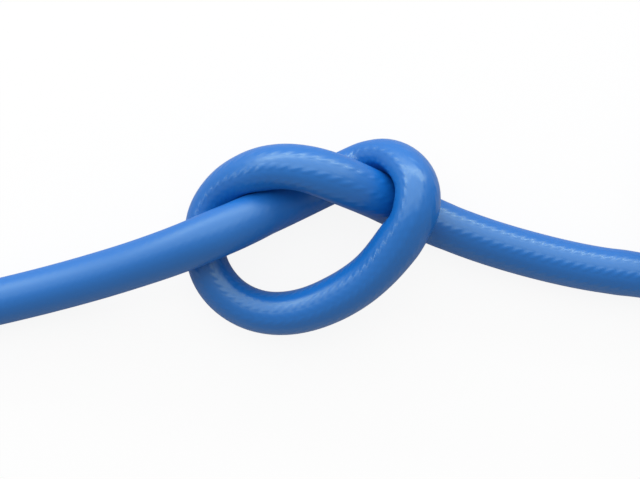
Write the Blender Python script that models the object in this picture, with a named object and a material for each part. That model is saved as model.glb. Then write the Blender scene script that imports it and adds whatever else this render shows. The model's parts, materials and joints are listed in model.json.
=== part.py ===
"""Dynamic climbing rope: an overhand knot near one end, the rest folded into a tied hank.

The rope lies on a floor at z = 0. A coated, braided sheath covers twelve core strands that run side by
side, and both cut ends are fused. Every piece of the rope follows one smooth centreline: the knot goes
through points chosen by hand, and the hank's loops come from a formula.
"""
import math

import bmesh
import bpy
import numpy as np
from mathutils import Matrix, Vector

MM = 0.001

# Rope
ROPE_DIAMETER = 10.0 * MM
SHEATH_WALL = 1.2 * MM
INNER_STRANDS = 3
OUTER_STRANDS = 9
FIT_GAP = 0.3 * MM
FLOOR_FLAT = ROPE_DIAMETER / 10

# How much a bend squeezes the round section, as a share of radius over bend radius, and its limit;
# a share of the squeeze comes out sideways
BEND_SQUEEZE = 0.3
MOST_SQUEEZE = 0.12
BEND_SPREAD = 0.2

# Fused ends: the plug that fills the bore, the rim over the cut edge and the rim's rounding
SEAL_PLUG = 3.0 * MM
SEAL_RIM = 2.4 * MM
SEAL_ROUND = 0.9 * MM
SEAL_ROUND_RINGS = 3

# Hank: straight runs between folds, loops a step apart, wound inwards and then outwards a layer higher
HANK_RUN = 87.0 * MM
HANK_FOLD_RADIUS = 34.5 * MM
LOOP_GAP = 1.6 * MM
LAYER_GAP = 0.8 * MM
HANK_START = -0.125
HANK_TURNS_BACK = 1.5
HANK_END = 3.125
POINTS_PER_LOOP = 24
ENTRY_RUN = 44.0 * MM
ENTRY_DROP = 14.0 * MM
WAIST_DRAW = 10.0 * MM

# Strap that ties the hank at its waist; its end laps over its start by this many corners
TIE_WIDTH = 20.0 * MM
TIE_THICKNESS = 1.2 * MM
TIE_LAP_CORNERS = 4

# The knot's route, in tenths of the rope's diameter, so in millimetres on a 10 mm rope:
# right, up the picture, and height of the centreline above the floor
ROUTE_UNIT = ROPE_DIAMETER / 10
KNOT_ROUTE = [
    (-85.6, -16.9, 4.0), (-70.9, -13.7, 4.2), (-48.0, -7.8, 8.4), (-36.6, -4.3, 12.0), (-27.7, -1.1, 14.2),
    (-22.2, 1.2, 14.2), (-17.2, 3.4, 12.5), (-12.5, 5.8, 9.4), (-7.9, 8.1, 6.4), (-3.1, 10.5, 4.5),
    (1.6, 12.7, 4.0), (9.4, 16.2, 4.3), (13.2, 17.4, 6.3), (16.7, 16.7, 9.6), (19.2, 14.5, 12.9),
    (20.6, 11.2, 15.5), (20.5, 7.2, 16.8), (19.3, 3.5, 16.6), (16.9, -0.3, 15.4), (11.3, -7.1, 12.5),
    (3.4, -12.7, 9.5), (-5.4, -15.9, 7.0), (-12.5, -16.0, 5.5), (-18.5, -13.7, 4.5), (-23.1, -9.2, 4.0),
    (-25.2, -4.2, 4.0), (-25.4, 0.5, 4.0), (-24.6, 5.0, 4.1), (-22.5, 8.9, 5.2), (-19.0, 12.2, 7.6),
    (-14.7, 14.5, 10.6), (-9.3, 15.6, 13.4), (-3.8, 15.2, 15.1), (5.6, 12.2, 14.6), (10.4, 10.3, 11.8),
    (15.6, 8.1, 7.6), (20.6, 6.0, 4.8), (29.9, 2.1, 4.0), (46.6, -3.3, 4.0), (64.3, -7.0, 4.0),
    (73.0, -8.3, 4.0),
]

# A pulled knot presses its strands into each other. Solids can't, so they are eased apart to this gap,
# in steps that are spread along the rope over this length
KNOT_GAP = 0.8 * MM
EASE_LENGTH = 24.0 * MM
EASE_STEPS = 40

# Facets
SAMPLE_STEP = 1.0 * MM
TURN_PER_RING = math.radians(15)
LONGEST_RING_STEP = 20.0 * MM
SHEATH_SIDES = 8
STRAND_SIDES = 4
HULL_SIDES = 16
SMOOTH_ANGLE = math.radians(50)

# Stretches of the rope this many diameters apart along it count as neighbours that may not touch
NEIGHBOUR_DIAMETERS = 2.2

# Each finish is a linear colour and a roughness
FINISHES = {
    "coated_blue": ((0.026, 0.140, 0.440), 0.34),
    "core_white": ((0.80, 0.79, 0.75), 0.60),
    "fused_blue": ((0.012, 0.050, 0.190), 0.25),
    "tie_black": ((0.018, 0.018, 0.020), 0.75),
}

ROPE_RADIUS = ROPE_DIAMETER / 2
BORE_RADIUS = ROPE_RADIUS - SHEATH_WALL
BORE_FLATS = BORE_RADIUS * math.cos(math.pi / SHEATH_SIDES)
PLUG_RADIUS = BORE_RADIUS - FIT_GAP / math.cos(math.pi / SHEATH_SIDES)
INNER_SPREAD = 0.5 / math.sin(math.pi / INNER_STRANDS)
OUTER_SPREAD = INNER_SPREAD + 1
STRAND_RADIUS = (BORE_FLATS - (OUTER_SPREAD + 1) * FIT_GAP) / (2 * OUTER_SPREAD + 1)
STRAND_PITCH = 2 * STRAND_RADIUS + FIT_GAP
LYING_HEIGHT = ROPE_RADIUS - FLOOR_FLAT
LOOP_STEP = ROPE_DIAMETER + LOOP_GAP
LAYER_STEP = ROPE_DIAMETER + LAYER_GAP
QUARTER_POINTS = POINTS_PER_LOOP // 4
WAIST_LIFT = FLOOR_FLAT + TIE_THICKNESS + 2 * FIT_GAP
WAIST_STRAIGHT = max(TIE_WIDTH / 2, HANK_RUN / QUARTER_POINTS)


def clear_scene():
    for old in list(bpy.data.objects):
        bpy.data.objects.remove(old, do_unlink=True)


def smoothstep(share):
    share = min(max(share, 0.0), 1.0)
    return share * share * (3 - 2 * share)


def unit(vector):
    return vector / np.linalg.norm(vector)


# Centreline

def knot_points():
    return [np.array(point) * ROUTE_UNIT for point in KNOT_ROUTE]


def loop_radius(turn):
    """Fold radius of the spiral: it shrinks steadily, and grows again after the hank turns back."""
    return HANK_FOLD_RADIUS - LOOP_STEP * (HANK_TURNS_BACK - abs(turn - HANK_TURNS_BACK))


def hank_centre():
    """Middle of the hank, placed so that its first run carries on from the knot's last point."""
    x, y, _ = knot_points()[-1]
    return x + ENTRY_RUN + HANK_RUN / 2, y - ENTRY_DROP + loop_radius(HANK_START)


def loop_point(turn):
    """Point of the spiral: each turn is a lower run, a right fold, an upper run and a left fold."""
    half, radius = HANK_RUN / 2, loop_radius(turn)
    quarter, part = divmod((turn - HANK_START) % 1.0 * 4, 1.0)
    forward = 1 if quarter < 2 else -1
    if quarter % 2 == 0:
        x, y = forward * HANK_RUN * (part - 0.5), -forward * radius
    else:
        angle = math.pi * (part - 0.5)
        x, y = forward * (half + radius * math.cos(angle)), forward * radius * math.sin(angle)
    waist = smoothstep((half - abs(x)) / (half - WAIST_STRAIGHT))
    climb = smoothstep((turn - HANK_TURNS_BACK) * 4 + 0.5)
    centre_x, centre_y = hank_centre()
    return np.array((
        centre_x + x,
        centre_y + y - math.copysign(WAIST_DRAW * waist, y),
        LYING_HEIGHT + WAIST_LIFT * waist + LAYER_STEP * climb,
    ))


def hank_points():
    count = round((HANK_END - HANK_START) * POINTS_PER_LOOP)
    return [loop_point(HANK_START + (HANK_END - HANK_START) * i / count) for i in range(count + 1)]


def smooth_curve(points):
    """Samples of a natural cubic spline through the points, and each point's own sample number."""
    points = np.array(points)
    count = len(points)
    chords = np.linalg.norm(np.diff(points, axis=0), axis=1)
    system, right = np.eye(count), np.zeros((count, 3))
    for i in range(1, count - 1):
        before, after = chords[i - 1], chords[i]
        system[i, i - 1:i + 2] = before, 2 * (before + after), after
        right[i] = 6 * ((points[i + 1] - points[i]) / after - (points[i] - points[i - 1]) / before)
    bends = np.linalg.solve(system, right)
    samples = []
    marks = [0]
    for i, chord in enumerate(chords):
        steps = max(1, round(chord / SAMPLE_STEP))
        ahead = np.linspace(0, 1, steps, endpoint=False)[:, None]
        behind = 1 - ahead
        bowed = (behind ** 3 - behind) * bends[i] + (ahead ** 3 - ahead) * bends[i + 1]
        samples.extend(behind * points[i] + ahead * points[i + 1] + bowed * chord ** 2 / 6)
        marks.append(len(samples))
    return np.array(samples + [points[-1]]), np.array(marks)


# Sections along the rope

def places_along(curve):
    return np.concatenate(([0.0], np.cumsum(np.linalg.norm(np.diff(curve, axis=0), axis=1))))


def section_axes(curve):
    """For each sample: tangent, two section axes that turn as little as they can, and the squeeze."""
    along = places_along(curve)
    tangents = np.array([unit(step) for step in np.gradient(curve, along, axis=0)])
    bends = np.gradient(tangents, along, axis=0)
    side = np.cross(tangents[0], (0, 0, 1))
    axes = []
    for tangent, bend in zip(tangents, bends):
        side = unit(side - tangent * side.dot(tangent))
        bend = bend - tangent * bend.dot(tangent)
        curvature = np.linalg.norm(bend)
        inward = unit(bend) if curvature else side
        across = np.cross(tangent, inward)
        share = min(BEND_SQUEEZE * curvature * ROPE_RADIUS, MOST_SQUEEZE)
        squeeze = np.eye(3) + share * (BEND_SPREAD * np.outer(across, across) - np.outer(inward, inward))
        axes.append((tangent, side, np.cross(tangent, side), squeeze))
    return axes


def neighbours(points, squeezes):
    """Each point's closest point on another stretch of the rope: the way there and the gap between skins."""
    squeezes = np.array(squeezes)
    numbers = np.arange(len(points))
    apart = NEIGHBOUR_DIAMETERS * ROPE_DIAMETER / SAMPLE_STEP
    for i, point in enumerate(points):
        reach = points - point
        distance = np.linalg.norm(reach, axis=1)
        near = (distance < 2 * ROPE_DIAMETER) & (abs(numbers - i) > apart)
        if near.any():
            ways = reach[near] / distance[near, None]
            own = np.linalg.norm(ways @ squeezes[i], axis=1)
            other = np.linalg.norm(np.einsum("nij,nj->ni", squeezes[near], ways), axis=1)
            gaps = distance[near] - ROPE_RADIUS * (own + other)
            yield i, ways[gaps.argmin()], gaps.min()


def ease_apart(knot):
    """Move the knot's strands apart, a little at a time, until their skins clear each other."""
    reach = round(EASE_LENGTH / SAMPLE_STEP)
    window = np.hanning(2 * reach + 1)
    window /= window.sum()
    lowest = np.minimum(knot[:, 2], LYING_HEIGHT)
    for _ in range(EASE_STEPS):
        squeezes = [section[3] for section in section_axes(knot)]
        moves = np.zeros_like(knot)
        for i, way, gap in neighbours(knot, squeezes):
            moves[i] = -way * max(KNOT_GAP - gap, 0.0) / 2
        knot = knot + np.array([np.convolve(axis, window, mode="same") for axis in moves.T]).T
        knot[:, 2] = np.maximum(knot[:, 2], lowest)
    return knot


def centreline():
    """The whole rope's middle line, its ends straight for one diameter, and the hank points' numbers."""
    knot = knot_points()
    curve, marks = smooth_curve(knot + hank_points())
    knot_end = marks[len(knot) - 1]
    curve[:knot_end] = ease_apart(curve[:knot_end])
    steps = np.linspace(0, ROPE_DIAMETER, round(ROPE_DIAMETER / SAMPLE_STEP) + 1)[1:, None]
    first = curve[0] + steps[::-1] * unit(curve[0] - curve[1])
    last = curve[-1] + steps * unit(curve[-1] - curve[-2])
    return np.concatenate((first, curve, last)), marks[len(knot):] + len(steps)


def ring_places(curve, axes, hank_marks):
    """Samples that carry a ring: the hank's own points, and before it one for each turn or step."""
    along = places_along(curve)
    places = [0]
    turned = 0.0
    for i in range(1, hank_marks[0]):
        turned += math.acos(min(1.0, axes[i][0].dot(axes[i - 1][0])))
        if turned > TURN_PER_RING or along[i] - along[places[-1]] > LONGEST_RING_STEP:
            places.append(i)
            turned = 0.0
    return [*places, *hank_marks, len(curve) - 1]


def least_gap(curve, axes, places):
    """Smallest clear distance between two stretches of the faceted rope, between points on its chords."""
    points, squeezes = [], []
    for start, end in zip(places, places[1:]):
        for ahead in np.linspace(0, 1, end - start, endpoint=False):
            points.append(curve[start] + (curve[end] - curve[start]) * ahead)
            squeezes.append(axes[start][3] + (axes[end][3] - axes[start][3]) * ahead)
    return min(gap for _, _, gap in neighbours(np.array(points), squeezes))


def section_matrix(centre, axes):
    """Placement of a flat section: local x and y span it, squeezed as the rope is there."""
    tangent, side, up, squeeze = axes
    columns = squeeze @ side, squeeze @ up, tangent, centre
    return Matrix([(*row, last) for *row, last in zip(*columns)] + [(0, 0, 0, 1)])


# Solids

def circle(radius, sides, middle=(0, 0), along=0.0):
    x, y = middle[:2]
    angles = [2 * math.pi * (k + 0.5) / sides for k in range(sides)]
    return [Vector((x + radius * math.cos(angle), y + radius * math.sin(angle), along)) for angle in angles]


def loft(name, rings, finish, closed=False):
    """Solid through a row of rings of equal counts; a closed row skins a hollow tube, inside and out."""
    mesh_edit = bmesh.new()
    loops = [[mesh_edit.verts.new(point) for point in ring] for ring in rings]
    pairs = list(zip(loops, loops[1:]))
    if closed:
        pairs.append((loops[-1], loops[0]))
    else:
        mesh_edit.faces.new(loops[0])
        mesh_edit.faces.new(loops[-1])
    for first, second in pairs:
        for k in range(len(first)):
            mesh_edit.faces.new((first[k - 1], first[k], second[k], second[k - 1]))
    bmesh.ops.recalc_face_normals(mesh_edit, faces=mesh_edit.faces)
    mesh = bpy.data.meshes.new(name)
    mesh_edit.to_mesh(mesh)
    mesh_edit.free()
    mesh.shade_smooth()
    mesh.set_sharp_from_angle(angle=SMOOTH_ANGLE)
    mesh.materials.append(finish)
    solid = bpy.data.objects.new(name, mesh)
    bpy.context.scene.collection.objects.link(solid)
    return solid


def make_finish(name):
    colour, roughness = FINISHES[name]
    finish = bpy.data.materials.new(name)
    finish.use_nodes = True
    shader = finish.node_tree.nodes["Principled BSDF"]
    shader.inputs["Base Color"].default_value = (*colour, 1)
    shader.inputs["Roughness"].default_value = roughness
    shader.inputs["Metallic"].default_value = 0.0
    return finish


def tube_rings(sections, radius, sides, middle=(0, 0)):
    return [[section @ point for point in circle(radius, sides, middle)] for section in sections]


def make_sheath(sections):
    outside = tube_rings(sections, ROPE_RADIUS, SHEATH_SIDES)
    bore = tube_rings(sections, BORE_RADIUS, SHEATH_SIDES)
    return loft("sheath", outside + bore[::-1], make_finish("coated_blue"), closed=True)


def make_core(sections):
    """Two rings of strands side by side, which end where the fused plugs start."""
    finish = make_finish("core_white")
    inset = Matrix.Translation((0, 0, SEAL_PLUG + FIT_GAP))
    inner = [sections[0] @ inset, *sections[1:-1], sections[-1] @ inset.inverted()]
    middles = circle(INNER_SPREAD * STRAND_PITCH, INNER_STRANDS)
    middles += circle(OUTER_SPREAD * STRAND_PITCH, OUTER_STRANDS)
    strands = []
    for number, middle in enumerate(middles, start=1):
        rings = tube_rings(inner, STRAND_RADIUS, STRAND_SIDES, middle)
        strands.append(loft(f"core_strand_{number}", rings, finish))
    return strands


def make_end_seal(name, section, outward):
    """Melted end: a plug in the bore, a rim over the sheath's cut edge and a rounded outer edge."""
    profile = [(-SEAL_PLUG, PLUG_RADIUS), (FIT_GAP, PLUG_RADIUS), (FIT_GAP, ROPE_RADIUS)]
    for angle in np.linspace(0, math.pi / 2, SEAL_ROUND_RINGS):
        along = FIT_GAP + SEAL_RIM - SEAL_ROUND * (1 - math.sin(angle))
        profile.append((along, ROPE_RADIUS - SEAL_ROUND * (1 - math.cos(angle))))
    rings = []
    for along, radius in profile:
        rings.append([section @ point for point in circle(radius, SHEATH_SIDES, along=outward * along)])
    return loft(name, rings, make_finish("fused_blue"))


def convex_outline(points):
    """Indices of the points on the convex outline, counter-clockwise from the leftmost."""
    order = sorted(range(len(points)), key=lambda i: points[i])

    def half(indices):
        chain = []
        for i in indices:
            while len(chain) > 1:
                (ax, ay), (bx, by), (cx, cy) = points[chain[-2]], points[chain[-1]], points[i]
                if (bx - ax) * (cy - ay) - (by - ay) * (cx - ax) > 0:
                    break
                chain.pop()
            chain.append(i)
        return chain[:-1]

    return half(order) + half(order[::-1])


def make_tie(curve):
    """Strap wound once round the runs at the waist, its end lapped over its start along the top."""
    waist = hank_centre()[0]
    hank = curve[curve[:, 0] > waist - HANK_RUN / 2]
    middles = [point[1:] for point in hank if abs(point[0] - waist) < WAIST_STRAIGHT]
    directions = [point.xy / ROPE_RADIUS for point in circle(ROPE_RADIUS, HULL_SIDES)]
    spots = [(middle, np.array(direction)) for middle in middles for direction in directions]
    inner = ROPE_RADIUS + FIT_GAP
    touching = convex_outline([tuple(middle + inner * direction) for middle, direction in spots])
    outline = [spots[i] for i in touching]
    top = max(range(len(outline)), key=lambda i: outline[i][0][1] + inner * outline[i][1][1])
    outline = outline[top:] + outline[:top]
    laps = outline + outline[:2]
    rings = []
    for i, (middle, direction) in enumerate(laps):
        lift = (TIE_THICKNESS + FIT_GAP) * smoothstep((i - len(outline)) / TIE_LAP_CORNERS + 1)
        low = middle + (inner + lift) * direction
        high = low + TIE_THICKNESS * direction
        corners = ((-1, low), (1, low), (1, high), (-1, high))
        rings.append([Vector((waist + end * TIE_WIDTH / 2, *point)) for end, point in corners])
    return loft("hank_tie", rings, make_finish("tie_black"))


def make_floor_cutter(curve):
    """Block below the floor, which presses flat whatever lies on it."""
    low, high = curve.min(axis=0) - ROPE_DIAMETER, curve.max(axis=0) + ROPE_DIAMETER
    depth = ROPE_DIAMETER
    size = Matrix.Diagonal((high[0] - low[0], high[1] - low[1], depth, 1))
    place = Matrix.Translation(((low[0] + high[0]) / 2, (low[1] + high[1]) / 2, -depth / 2))
    mesh_edit = bmesh.new()
    bmesh.ops.create_cube(mesh_edit, size=1, matrix=place @ size)
    mesh = bpy.data.meshes.new("floor_cutter")
    mesh_edit.to_mesh(mesh)
    mesh_edit.free()
    cutter = bpy.data.objects.new("floor_cutter", mesh)
    cutter.hide_render = True
    cutter.display_type = "WIRE"
    bpy.context.scene.collection.objects.link(cutter)
    return cutter


def press_flat(solid, cutter):
    flat = solid.modifiers.new("floor_flat", "BOOLEAN")
    flat.operation = "DIFFERENCE"
    flat.solver = "EXACT"
    flat.object = cutter


def carry(pieces, cutter):
    """Hang every piece on one empty that puts the origin under the middle of the part's box."""
    bpy.context.view_layer.update()
    graph = bpy.context.evaluated_depsgraph_get()
    corners = np.array([corner for piece in pieces for corner in piece.evaluated_get(graph).bound_box])
    low, high = corners.min(axis=0), corners.max(axis=0)
    base = bpy.data.objects.new("rope_base", None)
    bpy.context.scene.collection.objects.link(base)
    base.location = (-(low[0] + high[0]) / 2, -(low[1] + high[1]) / 2, -low[2])
    for piece in (*pieces, cutter):
        piece.parent = base
    bpy.context.view_layer.update()
    print("box in mm", ((high - low) / MM).round(2), "moved by", [round(p / MM, 3) for p in base.location])


def build():
    clear_scene()
    curve, hank_marks = centreline()
    axes = section_axes(curve)
    places = ring_places(curve, axes, hank_marks)
    gap = least_gap(curve, axes, places)
    print("rope length in m", round(places_along(curve)[-1], 4), "least gap in mm", round(gap / MM, 3))
    print("rings", len(places), "strand diameter in mm", round(2 * STRAND_RADIUS / MM, 3))
    sections = [section_matrix(curve[i], axes[i]) for i in places]
    sheath = make_sheath(sections)
    seals = [
        make_end_seal("end_seal_knot", sections[0], -1),
        make_end_seal("end_seal_hank", sections[-1], 1),
    ]
    cutter = make_floor_cutter(curve)
    press_flat(sheath, cutter)
    press_flat(seals[0], cutter)
    carry([sheath, *make_core(sections), *seals, make_tie(curve)], cutter)


build()
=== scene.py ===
# %% [markdown]
# # A climbing rope with an overhand knot
# The object is one length of blue rope. Its skin is a braid under a smooth coating, so it shines like soft
# plastic, and the braid only shows as faint slanted stitches in the highlights. We start from the packed
# solids, which fix every place and size, and then build the finished rope around the same line.

# %% Load the solids that fix every place and size
import json
import math

import bmesh
import bpy
import numpy as np
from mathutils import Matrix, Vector


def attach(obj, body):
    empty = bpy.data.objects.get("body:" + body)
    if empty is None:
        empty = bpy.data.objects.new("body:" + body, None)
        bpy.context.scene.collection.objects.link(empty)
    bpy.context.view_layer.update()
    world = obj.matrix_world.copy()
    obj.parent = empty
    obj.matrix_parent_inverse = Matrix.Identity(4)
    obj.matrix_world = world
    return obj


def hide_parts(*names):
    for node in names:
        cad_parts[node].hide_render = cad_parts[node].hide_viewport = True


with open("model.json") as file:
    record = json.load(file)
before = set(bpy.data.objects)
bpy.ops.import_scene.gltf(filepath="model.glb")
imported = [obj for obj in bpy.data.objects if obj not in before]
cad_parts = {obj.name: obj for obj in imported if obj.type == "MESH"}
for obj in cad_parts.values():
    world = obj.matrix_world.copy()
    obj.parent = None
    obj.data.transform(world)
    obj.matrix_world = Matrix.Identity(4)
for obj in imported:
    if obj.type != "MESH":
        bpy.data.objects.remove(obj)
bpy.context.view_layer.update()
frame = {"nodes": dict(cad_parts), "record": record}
record = frame["record"]
MM = 0.001
print("solids:", len(frame["nodes"]))

# %% [markdown]
# ## Where the knot is
# The knot's route is written in millimetres around the middle of the picture, with heights above the floor.
# The solids use the same route, moved so that the part's origin lies under its middle. The flat underside
# that the record names lies right under one point of the route, so the difference of the two is the move.

# %% The route through the knot, from the left end to where the hank begins
KNOT_ROUTE = [
    (-85.6, -16.9, 4.0), (-70.9, -13.7, 4.2), (-48.0, -7.8, 8.4), (-36.6, -4.3, 12.0), (-27.7, -1.1, 14.2),
    (-22.2, 1.2, 14.2), (-17.2, 3.4, 12.5), (-12.5, 5.8, 9.4), (-7.9, 8.1, 6.4), (-3.1, 10.5, 4.5),
    (1.6, 12.7, 4.0), (9.4, 16.2, 4.3), (13.2, 17.4, 6.3), (16.7, 16.7, 9.6), (19.2, 14.5, 12.9),
    (20.6, 11.2, 15.5), (20.5, 7.2, 16.8), (19.3, 3.5, 16.6), (16.9, -0.3, 15.4), (11.3, -7.1, 12.5),
    (3.4, -12.7, 9.5), (-5.4, -15.9, 7.0), (-12.5, -16.0, 5.5), (-18.5, -13.7, 4.5), (-23.1, -9.2, 4.0),
    (-25.2, -4.2, 4.0), (-25.4, 0.5, 4.0), (-24.6, 5.0, 4.1), (-22.5, 8.9, 5.2), (-19.0, 12.2, 7.6),
    (-14.7, 14.5, 10.6), (-9.3, 15.6, 13.4), (-3.8, 15.2, 15.1), (5.6, 12.2, 14.6), (10.4, 10.3, 11.8),
    (15.6, 8.1, 7.6), (20.6, 6.0, 4.8), (29.9, 2.1, 4.0), (46.6, -3.3, 4.0), (64.3, -7.0, 4.0),
    (73.0, -8.3, 4.0),
]
OVER_THE_FLAT = (46.6, -3.3)
flat = next(mount for mount in record["mounts"] if mount["name"] == "underside")
picture_middle = np.array([flat["pos_m"][k] - OVER_THE_FLAT[k] * MM for k in range(2)] + [0.0])
print("middle of the picture on the floor, in mm:", (picture_middle / MM).round(2))

# %% [markdown]
# ## The camera
# The photograph looks straight down on the knot. A rope of 10 mm is about 45 pixels wide on the floor, which
# a 70 mm lens gives from 280 mm. The camera comes before the modelling, because the length that the picture
# doesn't show has to stay out of its view.

# %% Camera straight above the middle of the picture
CAMERA_HEIGHT = 280 * MM
LENS_MM = 70
SENSOR_MM = 36
NEAREST_SEEN = 10 * MM
bpy.ops.object.select_all(action="DESELECT")
bpy.ops.object.camera_add(location=(picture_middle[0], picture_middle[1], CAMERA_HEIGHT), rotation=(0, 0, 0))
camera = bpy.context.object
camera.name = "camera"
camera.data.lens = LENS_MM
camera.data.sensor_width = SENSOR_MM
camera.data.clip_start = NEAREST_SEEN
bpy.context.scene.camera = camera
print("camera at", [round(v, 4) for v in camera.location])

# %% [markdown]
# ## The centreline
# Past the knot the rope folds into a hank: runs joined by half-circle folds, spiralling in on the floor and
# out again a layer higher, all drawn in at the waist by a strap. A rope has no corners, so one cubic spline
# goes through every point of the knot and of the hank.

# %% Formula of the hank
LYING_HEIGHT = 4.0 * MM
HANK_RUN = 87.0 * MM
FOLD_RADIUS = 34.5 * MM
LOOP_STEP = 11.6 * MM
LAYER_STEP = 10.8 * MM
ENTRY_RUN = 44.0 * MM
ENTRY_DROP = 14.0 * MM
WAIST_DRAW = 10.0 * MM
WAIST_LIFT = 2.8 * MM
POINTS_PER_LOOP = 24
WAIST_STRAIGHT = HANK_RUN * 4 / POINTS_PER_LOOP
FIRST_TURN = -0.125
TURNS_BACK = 1.5
LAST_TURN = 3.125


def smoothstep(share):
    share = np.clip(share, 0.0, 1.0)
    return share * share * (3 - 2 * share)


def fold_radius(turn):
    return FOLD_RADIUS - LOOP_STEP * (TURNS_BACK - abs(turn - TURNS_BACK))


knot = np.array(KNOT_ROUTE) * MM + picture_middle
hank_middle = knot[-1][:2] + (ENTRY_RUN + HANK_RUN / 2, fold_radius(FIRST_TURN) - ENTRY_DROP)


def hank_point(turn):
    """Point of the hank: each turn is a lower run, a right fold, an upper run and a left fold."""
    half, radius = HANK_RUN / 2, fold_radius(turn)
    quarter, part = divmod((turn - FIRST_TURN) % 1.0 * 4, 1.0)
    forward = 1 if quarter < 2 else -1
    if quarter % 2 == 0:
        x, y = forward * HANK_RUN * (part - 0.5), -forward * radius
    else:
        angle = math.pi * (part - 0.5)
        x, y = forward * (half + radius * math.cos(angle)), forward * radius * math.sin(angle)
    waist = smoothstep((half - abs(x)) / (half - WAIST_STRAIGHT))
    climb = smoothstep((turn - TURNS_BACK) * 4 + 0.5)
    y -= math.copysign(WAIST_DRAW * waist, y)
    return hank_middle[0] + x, hank_middle[1] + y, LYING_HEIGHT + WAIST_LIFT * waist + LAYER_STEP * climb


print("middle of the hank on the floor, in mm:", (hank_middle / MM).round(1))

# %% One smooth curve through all the points, with a sample at every even step
RING_STEP = 1.1 * MM
END_STRAIGHT = 10.0 * MM


def spline(points, step):
    """Natural cubic spline through the points, sampled at even steps."""
    chords = np.linalg.norm(np.diff(points, axis=0), axis=1)
    places = np.concatenate(([0.0], np.cumsum(chords)))
    count = len(points)
    system, right = np.eye(count), np.zeros((count, 3))
    for i in range(1, count - 1):
        before, after = chords[i - 1], chords[i]
        system[i, i - 1:i + 2] = before, 2 * (before + after), after
        right[i] = 6 * ((points[i + 1] - points[i]) / after - (points[i] - points[i - 1]) / before)
    bends = np.linalg.solve(system, right)
    at = np.linspace(0, places[-1], round(places[-1] / step) + 1)
    span = np.clip(np.searchsorted(places, at, side="right") - 1, 0, count - 2)
    ahead = ((at - places[span]) / chords[span])[:, None]
    behind = 1 - ahead
    bowed = (behind ** 3 - behind) * bends[span] + (ahead ** 3 - ahead) * bends[span + 1]
    return behind * points[span] + ahead * points[span + 1] + bowed * (chords[span] ** 2 / 6)[:, None]


def straight_end(end, before):
    """Samples that carry a curve's end on, straight, for the length that its fused tip needs."""
    steps = np.linspace(0, END_STRAIGHT, round(END_STRAIGHT / RING_STEP) + 1)[1:, None]
    return end + steps * (end - before) / np.linalg.norm(end - before)


turn_count = round((LAST_TURN - FIRST_TURN) * POINTS_PER_LOOP) + 1
hank = np.array([hank_point(turn) for turn in np.linspace(FIRST_TURN, LAST_TURN, turn_count)])
line = spline(np.concatenate((knot, hank)), RING_STEP)
line = np.concatenate((straight_end(line[0], line[1])[::-1], line, straight_end(line[-1], line[-2])))
along = np.concatenate(([0.0], np.cumsum(np.linalg.norm(np.diff(line, axis=0), axis=1))))
print("rope length in m:", round(along[-1], 4), "rings:", len(line))

# %% [markdown]
# ## The rope's skin
# A curve with a round bevel would give an even tube, but a knot isn't even: each bend flattens the rope a
# little, strands dent each other where they touch, and the floor presses the underside flat. So the rings
# are worked out one by one. A point of a ring that would pass the middle plane between its own strand and a
# neighbouring strand is drawn back to that plane, so the two skins meet in a dent and never cross. The plane
# lies nearer to the strand that is bent more tightly, because that one gives way.

# %% Directions across the rope at every sample, turning as little as they can
tangents = np.gradient(line, along, axis=0)
tangents /= np.linalg.norm(tangents, axis=1)[:, None]
bend_vectors = np.gradient(tangents, along, axis=0)
sides = [np.cross(tangents[0], (0, 0, 1))]
for tangent in tangents[1:]:
    turned = sides[-1] - tangent * sides[-1].dot(tangent)
    sides.append(turned / np.linalg.norm(turned))
sides[0] = sides[0] / np.linalg.norm(sides[0])
sides = np.array(sides)
ups = np.cross(tangents, sides)
print("tightest bend of the line, in mm:", round(1 / np.linalg.norm(bend_vectors, axis=1).max() / MM, 1))

# %% How much of its radius each point of a ring keeps beside other strands
ROPE_RADIUS = 5.12 * MM
NEIGHBOUR_REACH = 15 * MM
NEIGHBOUR_APART = 22 * MM
DENT_GIVE = 0.3
DENT_MOST_GIVE = 0.12
DENT_CLEAR = 0.996
DENT_SOFT = 0.03
LEAST_TOWARDS = 1e-12
BEND_SAMPLES = 9
bend_window = np.ones(BEND_SAMPLES) / BEND_SAMPLES
tightness = ROPE_RADIUS * np.convolve(np.linalg.norm(bend_vectors, axis=1), bend_window, mode="same")


def soft_least(value, limit, soft):
    """The smaller of value and limit, with a rounded change from one to the other."""
    blend = np.clip(0.5 + 0.5 * (limit - value) / soft, 0, 1)
    return limit + (value - limit) * blend - soft * blend * (1 - blend)


def kept_share(i, ring):
    """Share of its radius that each ring point keeps beside the strands that touch it."""
    reach = line - line[i]
    distance = np.linalg.norm(reach, axis=1)
    touching = (distance < NEIGHBOUR_REACH) & (abs(along - along[i]) > NEIGHBOUR_APART)
    if not touching.any():
        return np.ones(len(ring))
    give = np.clip(DENT_GIVE * (tightness[touching] - tightness[i]), -DENT_MOST_GIVE, DENT_MOST_GIVE)
    towards = np.maximum(ring @ reach[touching].T, LEAST_TOWARDS)
    plane = ((0.5 + give) * distance[touching] ** 2 / towards).min(axis=1) * DENT_CLEAR
    return soft_least(plane, 1.0, DENT_SOFT)


print("radius of the rope over its tightest bend:", tightness.max().round(2))

# %% Rings of the skin: squeezed by bends, dented by neighbours, flat on the floor
SKIN_SIDES = 60
BEND_SQUEEZE = 0.30
BEND_SPREAD = 0.06
MOST_SQUEEZE = 0.12
STRAIGHT_BELOW = 1.0
FLOOR_CLEAR = 0.05 * MM


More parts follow.
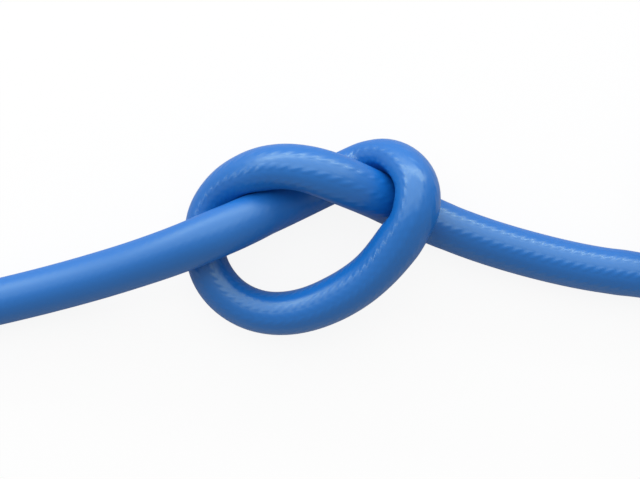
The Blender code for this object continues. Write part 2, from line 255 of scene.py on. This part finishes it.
def skin_ring(i, radius):
    """One ring of the skin around sample i."""
    angles = np.arange(SKIN_SIDES) * 2 * math.pi / SKIN_SIDES
    ring = radius * (np.cos(angles)[:, None] * sides[i] + np.sin(angles)[:, None] * ups[i])
    curvature = np.linalg.norm(bend_vectors[i])
    if curvature > STRAIGHT_BELOW:
        inward = bend_vectors[i] / curvature
        across = np.cross(tangents[i], inward)
        squeeze = min(BEND_SQUEEZE * curvature * radius, MOST_SQUEEZE)
        spread = squeeze * BEND_SPREAD / BEND_SQUEEZE
        ring = ring - squeeze * np.outer(ring @ inward, inward) + spread * np.outer(ring @ across, across)
    points = line[i] + ring * kept_share(i, ring)[:, None]
    points[:, 2] = np.maximum(points[:, 2], FLOOR_CLEAR)
    return points


rings = np.array([skin_ring(i, ROPE_RADIUS) for i in range(len(line))])
print("skin rings:", rings.shape[:2], "lowest and highest in mm:", (rings[:, :, 2].min() / MM).round(2),
      (rings[:, :, 2].max() / MM).round(2))

# %% [markdown]
# ## A tube with two maps
# The tube keeps two maps of itself. "braid" says how far along the rope and how far round it a point lies,
# so the stitches of the braid can follow the knot. "OFBake" cuts the long skin into strips that fill a
# square, so that a picture of the finish has room for every stitch.

# %% Build a closed tube from rings, with its maps
BAKE_STRIPS = 7
BAKE_MARGIN = 0.03


def tube(name, hoops, places, strips):
    """Closed mesh through hoops of points, with a map of place along and around, and a map of strips."""
    count, sides_count = hoops.shape[:2]
    corner = np.arange(count * sides_count).reshape(count, sides_count)
    around = np.roll(corner, -1, axis=1)
    quads = np.stack((corner[:-1], around[:-1], around[1:], corner[1:]), axis=-1).reshape(-1, 4)
    faces = quads.tolist() + [corner[0][::-1].tolist(), corner[-1].tolist()]
    mesh = bpy.data.meshes.new(name)
    mesh.from_pydata(hoops.reshape(-1, 3).tolist(), [], faces)
    mesh.shade_smooth()
    row, column = np.divmod(np.arange(len(quads)), sides_count)
    rows = np.stack((row, row, row + 1, row + 1), axis=-1)
    turns = np.stack((column, column + 1, column + 1, column), axis=-1) / sides_count
    strip = (row * strips // (count - 1))[:, None]
    first = np.ceil(strip * (count - 1) / strips)
    longest = math.ceil((count - 1) / strips)
    inside = 1 - 2 * BAKE_MARGIN
    wide = BAKE_MARGIN / strips + inside * (rows - first) / longest
    high = (strip + BAKE_MARGIN + inside * turns) / strips
    ends = np.zeros((2 * sides_count, 2))
    for map_name, pairs in (("braid", (places[rows], turns)), ("OFBake", (wide, high))):
        layer = mesh.uv_layers.new(name=map_name)
        values = np.concatenate((np.stack(pairs, axis=-1).reshape(-1, 2), ends))
        layer.data.foreach_set("uv", values.astype(np.float32).ravel())
    piece = bpy.data.objects.new(name, mesh)
    bpy.context.scene.collection.objects.link(piece)
    return piece


rope = tube("rope_sheath", rings, along, BAKE_STRIPS)
print(rope.name, "has", 2 * len(rope.data.polygons), "triangles")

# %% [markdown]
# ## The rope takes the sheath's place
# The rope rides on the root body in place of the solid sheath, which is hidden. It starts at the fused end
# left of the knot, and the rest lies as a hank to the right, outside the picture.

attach(rope, "root")
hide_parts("sheath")

# %% [markdown]
# ## A short way to write shaders
# A finish is a formula over the surface. Written with nodes alone it is hard to read, so one small class
# wraps a socket, and plain sums and products of wrapped sockets add the Math nodes.

# %% The class that turns expressions into nodes


class Wire:
    """An output socket. Expressions on wires add Math nodes to the wire's own node tree."""

    def __init__(self, tree, socket=None):
        self.tree = tree
        self.socket = socket

    def node(self, kind, settings=None, sockets=None, out=0):
        """Add a node: first its settings, then the values or links of its sockets."""
        node = self.tree.nodes.new("ShaderNode" + kind)
        for name, value in (settings or {}).items():
            setattr(node, name, value)
        for key, value in (sockets or {}).items():
            if isinstance(value, Wire):
                self.tree.links.new(value.socket, node.inputs[key])
            else:
                node.inputs[key].default_value = value
        return Wire(self.tree, node.outputs[out])

    def math(self, operation, *values):
        return self.node("Math", {"operation": operation}, dict(enumerate(values)))

    def parts(self):
        """The three numbers of a vector."""
        node = self.node("SeparateXYZ", {}, {0: self}).socket.node
        return [Wire(self.tree, output) for output in node.outputs]

    def mix(self, low, high):
        """Colour between two colours, by this wire's value."""
        return self.node("Mix", {"data_type": "RGBA"}, {0: self, 6: low, 7: high}, out=2)

    def __add__(self, other):
        return self.math("ADD", self, other)

    __radd__ = __add__

    def __sub__(self, other):
        return self.math("SUBTRACT", self, other)

    def __rsub__(self, other):
        return self.math("SUBTRACT", other, self)

    def __mul__(self, other):
        return self.math("MULTIPLY", self, other)

    __rmul__ = __mul__

    def __truediv__(self, other):
        return self.math("DIVIDE", self, other)


print("besides sums and products a wire knows:", [name for name in vars(Wire) if name[0] != "_"])

# %% Helpers that start a finish, feed its shader and put it on a piece


def new_finish(name, **constants):
    """A material with its constant sockets set, its shader, and a wire to start expressions from."""
    material = bpy.data.materials.new(name)
    material.use_nodes = True
    shader = material.node_tree.nodes["Principled BSDF"]
    for socket, value in constants.items():
        shader.inputs[socket.replace("_", " ")].default_value = value
    return material, shader, Wire(material.node_tree)


def feed(shader, **wires):
    """Link wires to the shader's sockets by name."""
    for socket, wire in wires.items():
        wire.tree.links.new(wire.socket, shader.inputs[socket.replace("_", " ")])


def dress(piece, material):
    piece.data.materials.clear()
    piece.data.materials.append(material)


print("finishes are made with:", [helper.__name__ for helper in (new_finish, feed, dress)])

# %% [markdown]
# ## The coated braid
# Eighteen columns of stitches run along the rope, and the stitches of neighbouring columns lean opposite
# ways. A picture of a braid could be wrapped round the tube, but a formula on the rope's own map follows the
# knot and stays sharp from close by. The coating fills most of the relief, so a stitch is only a few
# hundredths of a millimetre high. It shows where a highlight ends, because there each stitch tilts the
# reflection a little. One lean stands out more than the other, as in the photograph.

# %% Shape of the stitches
STITCH_COLUMNS = 18
STITCH_LENGTH = 2.3 * MM
STITCH_LEAN = 0.6
STITCH_WANDER = 0.2
WANDER_SCALE = 180.0
FAINT_LEAN = 0.25
SATIN_LEVEL = 0.9
SATIN_TINT = (0.80, 1.0, 0.65, 1)

coated, coated_shader, start = new_finish(
    "coated_blue", IOR=1.5, Specular_IOR_Level=SATIN_LEVEL, Specular_Tint=SATIN_TINT)
rope_along, rope_around, _ = start.node("UVMap", {"uv_map": "braid"}).parts()
place = start.node("TexCoord", out=3)
wander = start.node("TexNoise", {}, {"Vector": place, "Scale": WANDER_SCALE, "Detail": 2.0})
column_place = rope_around * STITCH_COLUMNS
column = column_place.math("FLOOR", column_place)
across = column_place - column - 0.5
odd = column.math("MODULO", column, 2.0)
lean = (odd * 2 - 1) * across * STITCH_LEAN
phase = rope_along / STITCH_LENGTH + lean + odd * 0.5 + wander * STITCH_WANDER
stitch = phase.math("COSINE", phase * (2 * math.pi)) * 0.5 + 0.5
ridge = across.math("COSINE", across * math.pi)
strength = odd * (1 - FAINT_LEAN) + FAINT_LEAN
print("stitch columns:", STITCH_COLUMNS, "stitches along the rope:", round(along[-1] / STITCH_LENGTH))

# %% [markdown]
# ## Colour and gloss of the coating
# From its left end to the knot the rope is smoother and duller than beyond it: the stitches are nearly gone
# and the highlight has no edge. One smooth step along the rope says where that stretch ends. Broad patches of
# a slightly deeper blue and a slightly duller gloss keep the rest from looking like poured plastic. The same
# deeper blue is painted into the grooves between the stitches as painted shade.

# %% Finish of the sheath
BLUE = (0.005, 0.148, 0.545, 1)
BLUE_DEEP_AND_SHADED = (0.004, 0.134, 0.503, 1)
RELIEF = 0.066 * MM
WORN_UNTIL = 85 * MM
WORN_FADE = 40 * MM
WORN_RELIEF = 0.3
WORN_DULLER = 0.13
PATCH_SCALE = 45.0
PATCH_DULLER = 0.05
SATIN = 0.275
GROOVE_SHADE_SHARE = 0.25

worn = start.node("MapRange", {"interpolation_type": "SMOOTHSTEP"},
                  {0: rope_along, 1: WORN_UNTIL, 2: WORN_UNTIL + WORN_FADE, 3: 1.0, 4: 0.0})
height = stitch * ridge * strength * (1 - worn * (1 - WORN_RELIEF))
patches = start.node("TexNoise", {}, {"Vector": place, "Scale": PATCH_SCALE, "Detail": 1.0})
# Low stitch height darkens the grooves to the deeper blue: painted shade. The broad patches are the coating's
# own uneven tone.
patches_and_groove_shade = height * GROOVE_SHADE_SHARE + patches * (1 - GROOVE_SHADE_SHARE)
bump = start.node("Bump", {}, {"Strength": 1.0, "Distance": RELIEF, "Height": height})
feed(coated_shader, Base_Color=patches_and_groove_shade.mix(BLUE_DEEP_AND_SHADED, BLUE), Normal=bump,
     Roughness=patches * PATCH_DULLER + worn * WORN_DULLER + SATIN)
dress(rope, coated)
print(coated.name, "has", len(coated.node_tree.nodes), "nodes")

# %% [markdown]
# ## The core
# Inside the sheath run twelve white strands that carry the load. They stay out of sight, but whoever cuts the
# model open finds them. Each is a thin tube along the same line, and where the skin is dented the strands
# move in with it.

# %% Core strands
STRAND_RADIUS = 0.66 * MM
STRAND_SIDES = 8
STRAND_CIRCLES = ((3, 0.93 * MM), (9, 2.55 * MM))
CORE_STEP = 2
CORE_INSET = 3.3 * MM

core_samples = np.flatnonzero((along > CORE_INSET) & (along < along[-1] - CORE_INSET))[::CORE_STEP]
strand_angles = np.arange(STRAND_SIDES) * 2 * math.pi / STRAND_SIDES


def strand_ring(i, away, angle):
    """Ring of a strand that lies the given distance from the rope's middle, at the given angle."""
    outward = math.cos(angle) * sides[i] + math.sin(angle) * ups[i]
    kept = kept_share(i, ROPE_RADIUS * outward[None, :])[0]
    circle = np.cos(strand_angles)[:, None] * sides[i] + np.sin(strand_angles)[:, None] * ups[i]
    return line[i] + kept * (away * outward + STRAND_RADIUS * circle)


strands = []
for count, away in STRAND_CIRCLES:
    for k in range(count):
        angle = 2 * math.pi * (k + 0.5) / count
        strand_rings = np.array([strand_ring(i, away, angle) for i in core_samples])
        number = len(strands) + 1
        strand = tube(f"core_yarn_{number}", strand_rings, along[core_samples], BAKE_STRIPS)
        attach(strand, "root")
        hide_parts(f"core_strand_{number}")
        strands.append(strand)
print("core strands:", len(strands))

# %% [markdown]
# ## Finish of the core
# Each is plied from three white threads. Twisting the mesh would cost many faces for something that
# stays hidden, so the plies are a wave on the strand's own map, which moves on as it goes round. The grooves
# between the plies are painted a greyer white as painted shade.

# %% White yarn, plied from three threads
PLIES = 3
PLY_PITCH = 7 * MM
PLY_RELIEF = 0.08 * MM
YARN_DULL = 0.62
YARN_PAINTED_SHADE = (0.62, 0.61, 0.57, 1)
YARN_WHITE = (0.80, 0.79, 0.75, 1)

yarn, yarn_shader, start = new_finish("core_white", Roughness=YARN_DULL)
strand_along, strand_around, _ = start.node("UVMap", {"uv_map": "braid"}).parts()
ply = strand_along / PLY_PITCH + strand_around
ply_height = ply.math("COSINE", ply * (2 * math.pi * PLIES)) * 0.5 + 0.5
ply_bump = start.node("Bump", {}, {"Distance": PLY_RELIEF, "Height": ply_height})
# The colour darkens where the ply height is low: painted shade in the grooves.
feed(yarn_shader, Base_Color=ply_height.mix(YARN_PAINTED_SHADE, YARN_WHITE), Normal=ply_bump)
for strand in strands:
    dress(strand, yarn)
print(yarn.name, "has", len(yarn.node_tree.nodes), "nodes")

# %% [markdown]
# ## The fused ends
# A cut rope frays, so both ends are melted with a hot blade: sheath and core run together into one dark,
# glossy bead that stands a little proud of the cut. A short cylinder is a good start. Its front edge is
# rounded, its face is inset and sunk, and a small random move of the points in its front half makes it
# uneven.

# %% Helpers for work in edit mode


def select_faces(piece, wanted):
    """In edit mode, select only the faces for which wanted is true."""
    shape = bmesh.from_edit_mesh(piece.data)
    for face in shape.faces:
        face.select_set(False)
    for face in shape.faces:
        if wanted(face):
            face.select_set(True)
    bmesh.update_edit_mesh(piece.data)


def settle(piece):
    """Put a piece's place, turn and size into its mesh, and lift what reaches below the floor."""
    bpy.ops.object.transform_apply(location=True, rotation=True, scale=True)
    for point in piece.data.vertices:
        point.co.z = max(point.co.z, FLOOR_CLEAR)


print("edit mode helpers:", [helper.__name__ for helper in (select_faces, settle)])

# %% Model both fused ends
TIP_BACK = 0.9 * MM
TIP_FRONT = 2.6 * MM
TIP_RADIUS = 5.22 * MM
TIP_SIDES = 40
TIP_ROUNDING = 1.3 * MM
TIP_ROUND_STEPS = 4
TIP_STEPS = ((0.9 * MM, 0.05 * MM), (1.2 * MM, -0.35 * MM), (1.0 * MM, -0.1 * MM))
TIP_UNEVEN = 0.10 * MM
TIP_SMOOTHING = 2
FACING_OUT = 0.99


def fused_end(name, node, end, outward, seed):
    """A melted bead over the rope's end, named and riding in place of its solid."""
    outward = Vector(outward)
    bpy.ops.object.select_all(action="DESELECT")
    bpy.ops.mesh.primitive_cylinder_add(
        vertices=TIP_SIDES, radius=TIP_RADIUS, depth=TIP_BACK + TIP_FRONT,
        location=Vector(end) + outward * (TIP_FRONT - TIP_BACK) / 2,
        rotation=outward.to_track_quat("Z", "Y").to_euler())
    tip = bpy.context.object
    tip.name = name
    bpy.ops.object.mode_set(mode="EDIT")
    select_faces(tip, lambda face: face.normal.z > FACING_OUT)
    bpy.ops.mesh.bevel(offset=TIP_ROUNDING, segments=TIP_ROUND_STEPS, affect="EDGES")
    select_faces(tip, lambda face: face.normal.z > FACING_OUT)
    for inset, rise in TIP_STEPS:
        bpy.ops.mesh.inset(thickness=inset)
        bpy.ops.transform.translate(value=outward * rise)
    select_faces(tip, lambda face: face.calc_center_median().z > 0)
    bpy.ops.transform.vertex_random(offset=TIP_UNEVEN, uniform=0.3, normal=0.7, seed=seed)
    bpy.ops.object.mode_set(mode="OBJECT")
    smooth = tip.modifiers.new("smooth", "SUBSURF")
    smooth.levels = TIP_SMOOTHING
    smooth.render_levels = TIP_SMOOTHING
    bpy.ops.object.modifier_apply(modifier=smooth.name)
    bpy.ops.object.shade_smooth()
    settle(tip)
    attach(tip, "root")
    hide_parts(node)
    return tip


tips = [
    fused_end("fused_end_knot", "end_seal_knot", line[0], -tangents[0], seed=3),
    fused_end("fused_end_hank", "end_seal_hank", line[-1], tangents[-1], seed=8),
]
print("fused ends:", [len(tip.data.polygons) for tip in tips], "faces")

# %% [markdown]
# ## Finish of the fused ends
# Melted fibre is darker than the rope, glossy and scorched here and there. Two noises make that: a broad one
# for the scorched patches, and a fine one that ripples the surface and breaks up its gloss.

# %% Dark melted blue, scorched in patches
MELTED_BLUE = (0.020, 0.060, 0.200, 1)
SCORCHED = (0.012, 0.018, 0.040, 1)
SCORCH_SCALE = 420.0
SCORCH_CONTRAST = 2.2
SCORCH_START = 0.6
RIPPLE_SCALE = 1400.0
RIPPLE_DULLER = 0.25
MELT_GLOSS = 0.16
MELT_RELIEF = 0.06 * MM

melt, melt_shader, start = new_finish("fused_blue", Coat_Weight=0.3, Coat_Roughness=0.15)
melt_place = start.node("TexCoord", out=3)
scorch = start.node("TexNoise", {}, {"Vector": melt_place, "Scale": SCORCH_SCALE, "Detail": 3.0})
ripple = start.node("TexNoise", {}, {"Vector": melt_place, "Scale": RIPPLE_SCALE, "Detail": 2.0})
melt_bump = start.node("Bump", {}, {"Distance": MELT_RELIEF, "Height": ripple})
scorched = scorch.math("SMOOTH_MIN", scorch * SCORCH_CONTRAST - SCORCH_START, 1.0, 0.1)
feed(melt_shader, Base_Color=scorched.mix(MELTED_BLUE, SCORCHED), Normal=melt_bump,
     Roughness=ripple * RIPPLE_DULLER + MELT_GLOSS)
for tip in tips:
    dress(tip, melt)
print(melt.name, "has", len(melt.node_tree.nodes), "nodes")

# %% [markdown]
# ## The strap round the hank
# A flat webbing strap holds the hank at its waist. Its path is the outline of a rubber band round all the
# runs, which Blender's convex hull finds. From that outline the strap is made as by hand: the line is
# extruded to the strap's width, thickened, and its edges are rounded. Its end laps over its start along the
# top.

# %% Outline of the runs at the waist
STRAP_WIDTH = 20 * MM
STRAP_THICKNESS = 1.2 * MM
STRAP_CLEAR = 0.3 * MM
HULL_SIDES = 32
ROPE_UNDER_STRAP = 5.0 * MM
waist_x = hank_middle[0]
past_the_knot = along > along[-1] / 4
in_waist = past_the_knot & (abs(line[:, 0] - waist_x) < WAIST_STRAIGHT)
hull_angles = np.arange(HULL_SIDES) * 2 * math.pi / HULL_SIDES
hull_circle = (ROPE_UNDER_STRAP + STRAP_CLEAR) * np.stack((np.cos(hull_angles), np.sin(hull_angles)), axis=-1)
hull_points = (line[in_waist][::2, None, 1:] + hull_circle).reshape(-1, 2)
hull_corners = [(waist_x + x, *point) for point in hull_points for x in (-STRAP_WIDTH / 2, STRAP_WIDTH / 2)]
hull_mesh = bpy.data.meshes.new("runs_hull")
hull_mesh.from_pydata(hull_corners, [], [])
hull = bpy.data.objects.new("runs_hull", hull_mesh)
bpy.context.scene.collection.objects.link(hull)
bpy.ops.object.select_all(action="DESELECT")
hull.select_set(True)
bpy.context.view_layer.objects.active = hull
bpy.ops.object.mode_set(mode="EDIT")
bpy.ops.mesh.select_all(action="SELECT")
bpy.ops.mesh.convex_hull()
bpy.ops.object.mode_set(mode="OBJECT")
outline = np.array([point.co[1:] for point in hull_mesh.vertices if point.co.x > waist_x])
bpy.data.objects.remove(hull)
from_middle = outline - outline.mean(axis=0)
outline = outline[np.argsort(np.arctan2(from_middle[:, 1], from_middle[:, 0]))]
near_top = np.flatnonzero(outline[:, 1] > outline[:, 1].max() - STRAP_CLEAR)
first_corner = near_top[outline[near_top, 0].argmax()]
outline = np.roll(outline, -first_corner, axis=0)
print("outline corners:", len(outline), "the first, in mm:", (outline[0] / MM).round(1))

# %% Line of the strap along the outline, its end lapped over its start
STRAP_STEP = 1 * MM
LAP_LENGTH = 26 * MM
LAP_RAMP = 9 * MM
closed = np.concatenate((outline, outline[:1]))
reached = np.concatenate(([0.0], np.cumsum(np.linalg.norm(np.diff(closed, axis=0), axis=1))))
strap_at = np.arange(0.0, reached[-1] + LAP_LENGTH, STRAP_STEP)
strap_line = np.stack([np.interp(strap_at % reached[-1], reached, closed[:, k]) for k in (0, 1)], axis=-1)
strap_way = np.gradient(strap_line, axis=0)
strap_out = np.stack((strap_way[:, 1], -strap_way[:, 0]), axis=-1)
strap_out /= np.linalg.norm(strap_out, axis=1)[:, None]
lift = (STRAP_THICKNESS + STRAP_CLEAR) * smoothstep((strap_at - reached[-1]) / LAP_RAMP + 1)
strap_line = strap_line + strap_out * lift[:, None]
print("strap length in mm:", round(strap_at[-1] / MM, 1), "points:", len(strap_line))

# %% Extrude the line to the strap's width, thicken it and round its edges
STRAP_ROUNDING = 0.4 * MM
STRAP_ROUND_STEPS = 3
ROUNDED_ABOVE = math.radians(60)
SMOOTH_BELOW = math.radians(40)
strap_mesh = bpy.data.meshes.new("hank_strap")
strap_corners = [(waist_x - STRAP_WIDTH / 2, *point) for point in strap_line]
strap_mesh.from_pydata(strap_corners, [(i, i + 1) for i in range(len(strap_corners) - 1)], [])
strap = bpy.data.objects.new("hank_strap", strap_mesh)
bpy.context.scene.collection.objects.link(strap)
bpy.ops.object.select_all(action="DESELECT")
strap.select_set(True)
bpy.context.view_layer.objects.active = strap
bpy.ops.object.mode_set(mode="EDIT")
bpy.ops.mesh.select_all(action="SELECT")
bpy.ops.mesh.extrude_region_move(TRANSFORM_OT_translate={"value": (STRAP_WIDTH, 0, 0)})
bpy.ops.mesh.select_all(action="SELECT")
bpy.ops.object.mode_set(mode="OBJECT")
facing = sum(face.normal.dot(Vector((0, *strap_out[face.vertices[0] % len(strap_out)])))
             for face in strap_mesh.polygons)
thick = strap.modifiers.new("thick", "SOLIDIFY")
thick.thickness = STRAP_THICKNESS
thick.offset = 1.0 if facing > 0 else -1.0
round_edges = strap.modifiers.new("round_edges", "BEVEL")
round_edges.width = STRAP_ROUNDING
round_edges.segments = STRAP_ROUND_STEPS
round_edges.angle_limit = ROUNDED_ABOVE
for name in ("thick", "round_edges"):
    bpy.ops.object.modifier_apply(modifier=name)
bpy.ops.object.mode_set(mode="EDIT")
bpy.ops.mesh.select_all(action="SELECT")
bpy.ops.mesh.normals_make_consistent(inside=False)
bpy.ops.object.mode_set(mode="OBJECT")
bpy.ops.object.shade_smooth_by_angle(angle=SMOOTH_BELOW)
settle(strap)
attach(strap, "root")
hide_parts("hank_tie")
print(strap.name, "has", len(strap.data.polygons), "faces")

# %% [markdown]
# ## Finish of the strap
# Webbing is a flat weave: ribs run along the strap, and each rib is crossed by fine picks, half a step apart
# from rib to rib. The strap lies square to the axes, so plain Object coordinates say where ribs and picks
# are. The hollows of the weave are painted a deeper black as painted shade.

# %% Black webbing
RIB_WIDTH = 1.1 * MM
PICK_LENGTH = 0.9 * MM
PICK_SHARE = 0.6
WEB_RELIEF = 0.18 * MM
WEB_DULL = 0.85
WEB_RUBBED = 0.25
WEB_HOLLOW_SHADE = (0.006, 0.006, 0.007, 1)
WEB_BLACK = (0.030, 0.030, 0.033, 1)

webbing, webbing_shader, start = new_finish("tie_black", Sheen_Weight=0.25, Sheen_Roughness=0.5)
web_x, web_y, web_z = start.node("TexCoord", out=3).parts()
rib = web_x * (1 / RIB_WIDTH)
rib_number = rib.math("FLOOR", rib)
pick = (web_y + web_z) * (1 / PICK_LENGTH) + rib_number * 0.5
rib_height = rib.math("COSINE", (rib - rib_number - 0.5) * math.pi)
pick_height = pick.math("COSINE", pick * (2 * math.pi)) * 0.5 + 0.5
web_height = rib_height * (pick_height * PICK_SHARE + (1 - PICK_SHARE))
web_bump = start.node("Bump", {}, {"Distance": WEB_RELIEF, "Height": web_height})
# Low weave height gets the deeper black: painted shade in the hollows.
feed(webbing_shader, Base_Color=web_height.mix(WEB_HOLLOW_SHADE, WEB_BLACK), Normal=web_bump,
     Roughness=WEB_DULL - web_height * WEB_RUBBED)
dress(strap, webbing)
print(webbing.name, "has", len(webbing.node_tree.nodes), "nodes")

# %% [markdown]
# ## The floor
# The rope lies on a plain white floor. A floor of pure white would bounce so much light that the lower half
# of each strand turns pale, so the floor itself is a light grey, and what the camera sees of it is mixed
# with plain white light. Reflections see a little of that white too, and the rope's shadow stays.

# %% Floor
FLOOR_SIZE = 6
FLOOR_GREY = (0.55, 0.55, 0.55, 1)
FLOOR_GLOW = 1.09
GLOW_TO_CAMERA = 0.82
GLOW_TO_GLOSS = 0.05

bpy.ops.object.select_all(action="DESELECT")
bpy.ops.mesh.primitive_plane_add(size=FLOOR_SIZE, location=(0, 0, 0))
floor = bpy.context.object
floor.name = "floor"
white = bpy.data.materials.new("floor_white")
white.use_nodes = True
floor_start = Wire(white.node_tree)
white.node_tree.nodes.remove(white.node_tree.nodes["Principled BSDF"])
shade = floor_start.node("BsdfDiffuse", {}, {"Color": FLOOR_GREY})
glow = floor_start.node("Emission", {}, {"Color": (1, 1, 1, 1), "Strength": FLOOR_GLOW})
light_path = floor_start.node("LightPath").socket.node
to_camera, to_gloss, to_glass = [
    Wire(white.node_tree, light_path.outputs[name])
    for name in ("Is Camera Ray", "Is Glossy Ray", "Is Transmission Ray")]
seen = to_camera * GLOW_TO_CAMERA + (to_gloss + to_glass) * GLOW_TO_GLOSS
surface = floor_start.node("MixShader", {}, {0: seen, 1: shade, 2: glow})
white.node_tree.links.new(surface.socket, white.node_tree.nodes["Material Output"].inputs[0])
dress(floor, white)
print(white.name, "has", len(white.node_tree.nodes), "nodes")

# %% [markdown]
# ## Studio light
# The bright band on a strand is the mirror image of the lamps, so it tells where they stand. It starts near
# the middle of a strand and reaches its upper rim: that takes two softboxes beyond the top edge of the
# picture, one above the other, from nearly overhead down to the floor. Two thin lamps draw the fine rows of
# dashes: one beyond the top edge draws those on the upper flank of the tails, and one on the left draws those
# down the inner side of the knot's right arm. A faint even world fills the shadows.

# %% Lamps: turn to the left, first and last angle from straight above, width and glow
LAMP_DISTANCE = 700 * MM
LAMPS = [
    ("upper_softbox", 3, 10, 48, 1300 * MM, 1.30),
    ("lower_softbox", 3, 48, 87, 1600 * MM, 1.40),
    ("line_lamp", 0, 64.5, 67.5, 1300 * MM, 12.0),
    ("left_line_lamp", 64, 62.5, 66, 800 * MM, 6.5),
]
for name, turn, first, last, width, glow_level in LAMPS:
    left = math.radians(turn)
    middle = math.radians((first + last) / 2)
    away = Vector((-math.sin(left) * math.sin(middle), math.cos(left) * math.sin(middle), math.cos(middle)))
    high = 2 * LAMP_DISTANCE * math.tan(math.radians((last - first) / 2))
    bpy.ops.object.light_add(
        type="AREA", location=Vector(picture_middle) + away * LAMP_DISTANCE,
        rotation=away.to_track_quat("Z", "Y").to_euler())
    lamp = bpy.context.object
    lamp.name = name
    lamp.data.shape = "RECTANGLE"
    lamp.data.size = width
    lamp.data.size_y = high
    lamp.data.energy = glow_level * math.pi * width * high
    print(name, "at", [round(v, 3) for v in lamp.location], "watts:", round(lamp.data.energy, 2))

# %% World and view
WORLD_LEVEL = 0.43
world = bpy.data.worlds.new("studio")
bpy.context.scene.world = world
world.use_nodes = True
background = world.node_tree.nodes["Background"]
background.inputs["Color"].default_value = (1, 1, 1, 1)
background.inputs["Strength"].default_value = WORLD_LEVEL
bpy.context.scene.view_settings.view_transform = "Standard"
print("world level:", WORLD_LEVEL, "view:", bpy.context.scene.view_settings.view_transform)

# %% [markdown]
# The finished rope may stand only a little proud of the solids.
